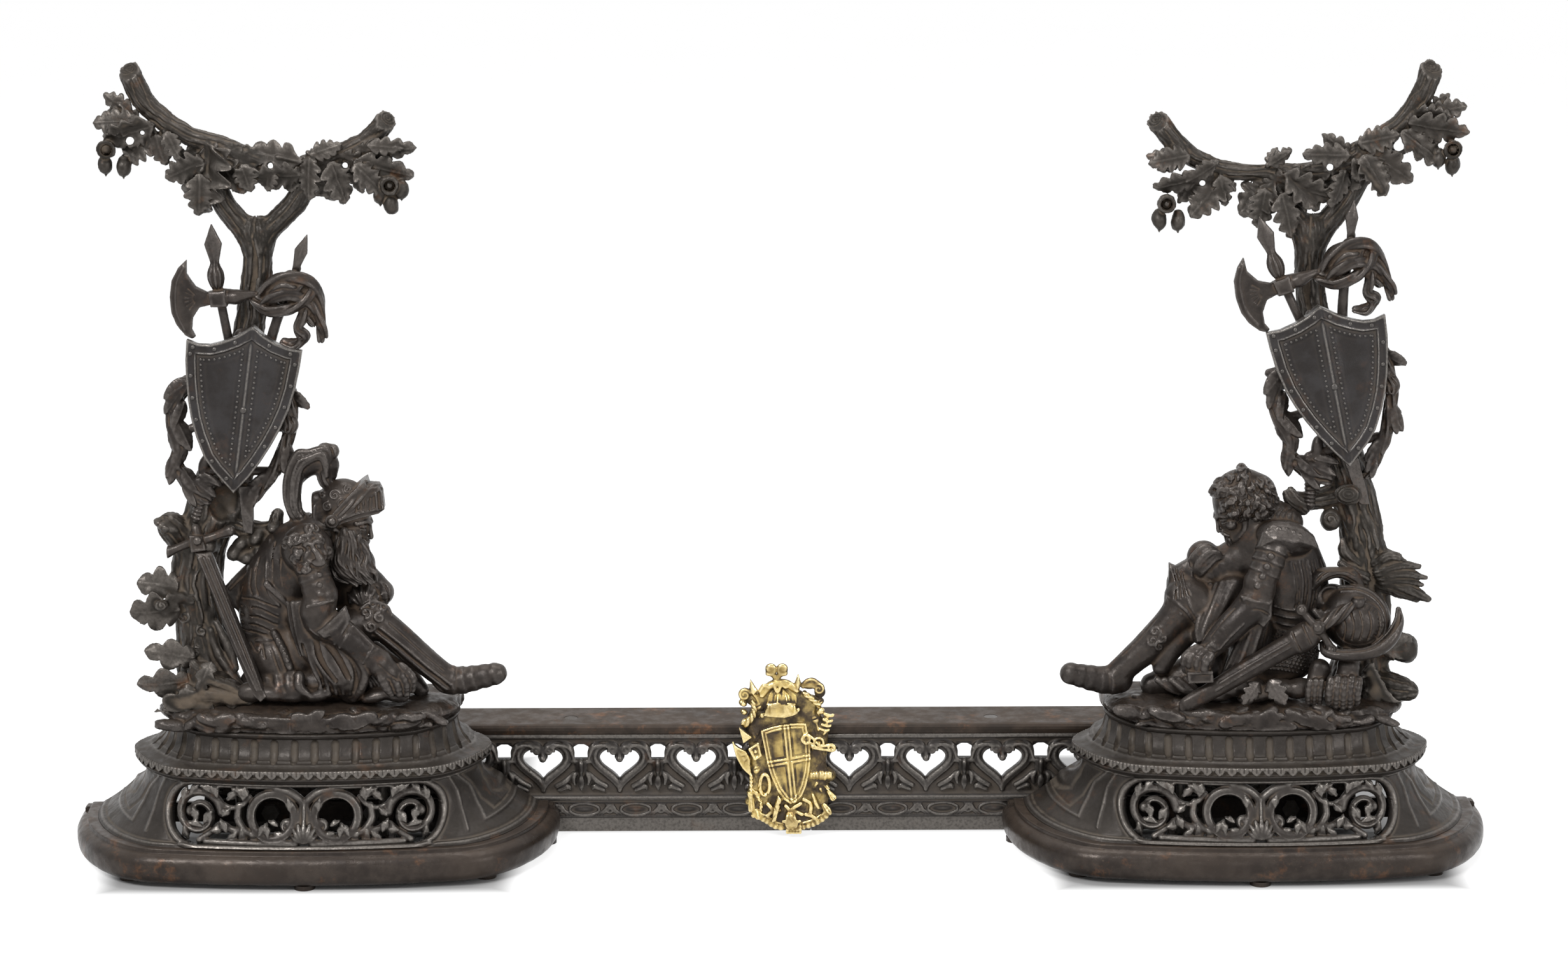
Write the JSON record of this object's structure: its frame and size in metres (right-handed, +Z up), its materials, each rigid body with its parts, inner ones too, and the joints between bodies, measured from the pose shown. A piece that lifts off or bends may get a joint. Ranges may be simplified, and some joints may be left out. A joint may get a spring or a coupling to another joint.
{
  "type": "fire fender",
  "caption": "Cast-iron fire fender: pierced plinths with seated armoured figures under oak trees hung with arms, joined by a low heart-pierced rail with a brass cartouche.",
  "frame": {"origin": "centre of the object's box on the floor", "axes": "+X runs along the rail to the fender's right-hand end as seen from the room, +Y goes back to the fire, +Z is up"},
  "size_m": [1.24, 0.208, 0.6936],
  "materials": {
    "figure_iron": "old brown-black patina, worn lighter on the high spots, with warm dust in the hollows",
    "shield_iron": "brown-black patina polished by handling on the field and the rim",
    "plinth_iron": "brown-black patina, satin, lighter on the arrises",
    "base_iron": "brown patina, satin, with faint vertical wear streaks",
    "grille_iron": "dark patina, rubbed lighter on the fronts of the scrolls",
    "rail_iron": "brown-grey patina, satin, dusty in the hollows",
    "cartouche_brass": "old brass, dark in the recesses, with rubbed high spots",
    "fixings_steel": "dull darkened steel"
  },
  "bodies": {
    "rail": {"rail_left_frieze": "rail_iron", "rail_right_frieze": "rail_iron", "rail_top_plate": "rail_iron", "rail_plate_screws": "fixings_steel", "rail_splice_plate": "fixings_steel", "rail_splice_screws": "fixings_steel", "cartouche": "cartouche_brass", "cartouche_screws": "fixings_steel"},
    "left_end": {"left_feet": "base_iron", "left_base_moulding": "base_iron", "left_plinth_casing": "plinth_iron", "left_scroll_grille": "grille_iron", "left_fluted_neck": "plinth_iron", "left_rocky_ground": "figure_iron", "left_tree_trunk": "figure_iron", "left_knight": "figure_iron", "left_sword": "figure_iron", "left_long_bough": "figure_iron", "left_short_bough": "figure_iron", "left_trophy": "figure_iron", "left_shield": "shield_iron", "left_shield_bolt": "fixings_steel", "left_tie_rods": "fixings_steel", "left_back_bar": "fixings_steel", "left_bar_bolts": "fixings_steel", "left_clamp_studs": "fixings_steel", "left_clamp_nuts": "fixings_steel"},
    "right_end": {"right_feet": "base_iron", "right_base_moulding": "base_iron", "right_plinth_casing": "plinth_iron", "right_scroll_grille": "grille_iron", "right_fluted_neck": "plinth_iron", "right_rocky_ground": "figure_iron", "right_tree_trunk": "figure_iron", "right_knight": "figure_iron", "right_sword": "figure_iron", "right_long_bough": "figure_iron", "right_short_bough": "figure_iron", "right_trophy": "figure_iron", "right_shield": "shield_iron", "right_shield_bolt": "fixings_steel", "right_tie_rods": "fixings_steel", "right_back_bar": "fixings_steel", "right_bar_bolts": "fixings_steel", "right_clamp_studs": "fixings_steel", "right_clamp_nuts": "fixings_steel", "right_fallen_helmet": "figure_iron"}
  },
  "joints": [
    {"name": "left_end_slide", "type": "slide", "parent": "rail", "child": "left_end", "axis": [-1, 0, 0], "range_m": [-0.035, 0.035]},
    {"name": "right_end_slide", "type": "slide", "parent": "rail", "child": "right_end", "axis": [1, 0, 0], "range_m": [-0.035, 0.035]}
  ]
}
